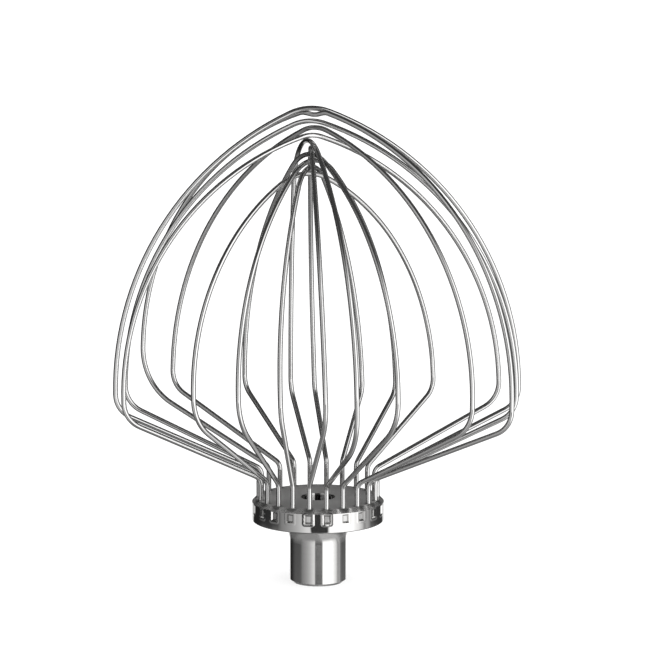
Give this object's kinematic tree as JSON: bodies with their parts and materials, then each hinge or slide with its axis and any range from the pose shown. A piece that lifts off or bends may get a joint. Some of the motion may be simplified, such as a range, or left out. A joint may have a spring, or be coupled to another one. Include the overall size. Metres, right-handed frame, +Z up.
{
  "type": "stand mixer wire whisk",
  "caption": "Flattened balloon whisk for a stand mixer: spring-wire loops that close over a crown, staked into the rim of a turned steel hub with a bored shank.",
  "frame": {"origin": "middle of the hub's open end, on the axis of the drive shaft, where the whisk stands", "axes": "+Z up along the shaft axis from the hub to the crown of the cage; +X along the broad side of the cage; -Y is the front that the picture shows"},
  "size_m": [0.1619, 0.099, 0.1898],
  "materials": {
    "hub_steel": "turned stainless steel, satin shank, polished rim, dull grey top face",
    "wire_steel": "polished stainless spring wire"
  },
  "bodies": {
    "root": {"hub": "hub_steel", "whisk_wire_01": "wire_steel", "whisk_wire_02": "wire_steel", "whisk_wire_03": "wire_steel", "whisk_wire_04": "wire_steel", "whisk_wire_05": "wire_steel", "whisk_wire_06": "wire_steel", "whisk_wire_07": "wire_steel", "whisk_wire_08": "wire_steel", "whisk_wire_09": "wire_steel", "whisk_wire_10": "wire_steel", "whisk_wire_11": "wire_steel"}
  },
  "joints": []
}
